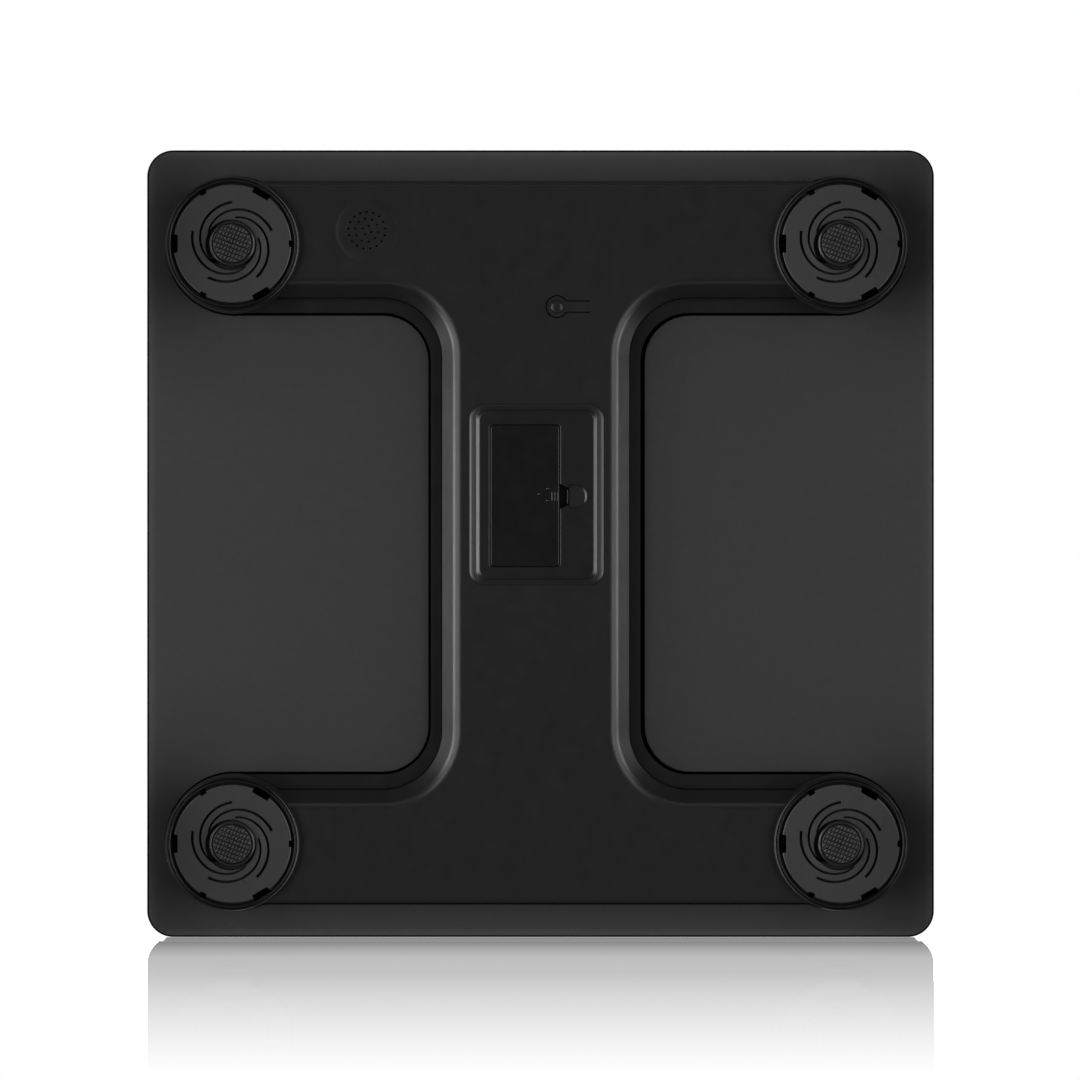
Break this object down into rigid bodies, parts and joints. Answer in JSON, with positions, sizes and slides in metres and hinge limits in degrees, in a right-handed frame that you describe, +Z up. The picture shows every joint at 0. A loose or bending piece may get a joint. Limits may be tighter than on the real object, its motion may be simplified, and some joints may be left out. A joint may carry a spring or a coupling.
{
  "type": "digital bathroom scale",
  "caption": "Square glass bathroom scale on an H-shaped plastic base with sprung sensor feet, a battery door, a unit button, a speaker and a display.",
  "frame": {"origin": "centre of the underside at floor height, below the middle of the glass", "axes": "+Z up through the glass; +Y towards the display edge; +X to the right for a person who stands on it and reads the display"},
  "size_m": [0.3, 0.3, 0.0258],
  "materials": {
    "glass": "polished tempered glass",
    "print": "flat dark grey print",
    "tape": "black foam tape",
    "abs_black": "fine satin moulding",
    "foot_plastic": "satin moulding",
    "rubber_pad": "cross-cut rubber",
    "cell_steel": "stamped steel",
    "gauge": "white sealing silicone",
    "cable_red": "insulated wire",
    "cable_black": "insulated wire",
    "board": "solder mask",
    "epoxy": "glossy resin",
    "zinc_steel": "zinc plated",
    "diffuser": "frosted white",
    "lcd": "polished",
    "foam": "closed-cell foam",
    "speaker_body": "matt cone and steel cup",
    "battery_label": "printed sleeve",
    "spring_steel": "nickel plated"
  },
  "bodies": {
    "scale": {"glass_platform": "glass", "back_print": "print", "adhesive_tape": "tape", "base_housing": "abs_black", "foot_disc_front_left": "foot_plastic", "load_cell_front_left": "cell_steel", "strain_gauge_front_left": "gauge", "cell_lead_front_left": "cable_red", "foot_disc_front_right": "foot_plastic", "load_cell_front_right": "cell_steel", "strain_gauge_front_right": "gauge", "cell_lead_front_right": "cable_red", "foot_disc_back_left": "foot_plastic", "load_cell_back_left": "cell_steel", "strain_gauge_back_left": "gauge", "cell_lead_back_left": "cable_red", "foot_disc_back_right": "foot_plastic", "load_cell_back_right": "cell_steel", "strain_gauge_back_right": "gauge", "cell_lead_back_right": "cable_red", "main_board": "board", "board_chip": "epoxy", "tact_switch": "epoxy", "board_screw_left": "zinc_steel", "board_screw_right": "zinc_steel", "lcd_backlight": "diffuser", "lcd_panel": "lcd", "lcd_gasket": "foam", "speaker": "speaker_body", "speaker_lead": "cable_red", "battery_left": "battery_label", "battery_right": "battery_label", "contact_bridge": "spring_steel", "contact_positive": "spring_steel", "contact_negative": "spring_steel", "battery_lead_positive": "cable_red", "battery_lead_negative": "cable_black"},
    "foot_front_left": {"foot_stud_front_left": "foot_plastic", "foot_pad_front_left": "rubber_pad"},
    "foot_front_right": {"foot_stud_front_right": "foot_plastic", "foot_pad_front_right": "rubber_pad"},
    "foot_back_left": {"foot_stud_back_left": "foot_plastic", "foot_pad_back_left": "rubber_pad"},
    "foot_back_right": {"foot_stud_back_right": "foot_plastic", "foot_pad_back_right": "rubber_pad"},
    "battery_door": {"battery_door": "abs_black"},
    "door_latch": {"door_latch": "abs_black"},
    "unit_button": {"unit_button": "abs_black"}
  },
  "joints": [
    {"name": "foot_front_left_travel", "type": "slide", "parent": "scale", "child": "foot_front_left", "axis": [0, 0, 1], "range_m": [0, 0.0006], "stiffness_N_per_m": 4000},
    {"name": "foot_front_right_travel", "type": "slide", "parent": "scale", "child": "foot_front_right", "axis": [0, 0, 1], "range_m": [0, 0.0006], "stiffness_N_per_m": 4000},
    {"name": "foot_back_left_travel", "type": "slide", "parent": "scale", "child": "foot_back_left", "axis": [0, 0, 1], "range_m": [0, 0.0006], "stiffness_N_per_m": 4000},
    {"name": "foot_back_right_travel", "type": "slide", "parent": "scale", "child": "foot_back_right", "axis": [0, 0, 1], "range_m": [0, 0.0006], "stiffness_N_per_m": 4000},
    {"name": "battery_door_hinge", "type": "hinge", "parent": "scale", "child": "battery_door", "pos_m": [0.01885, 0.0181, 0.003], "axis": [0, -1, 0], "range_deg": [0, 100]},
    {"name": "door_latch_flex", "type": "hinge", "parent": "battery_door", "child": "door_latch", "pos_m": [-0.0075, 0.0179, 0.0085], "axis": [0, -1, 0], "range_deg": [0, 8], "stiffness_Nm_per_rad": 0.05},
    {"name": "unit_button_press", "type": "hinge", "parent": "scale", "child": "unit_button", "pos_m": [-0.0188, 0.0897, 0.0064], "axis": [0, -1, 0], "range_deg": [0, 3.4], "stiffness_Nm_per_rad": 0.15}
  ]
}
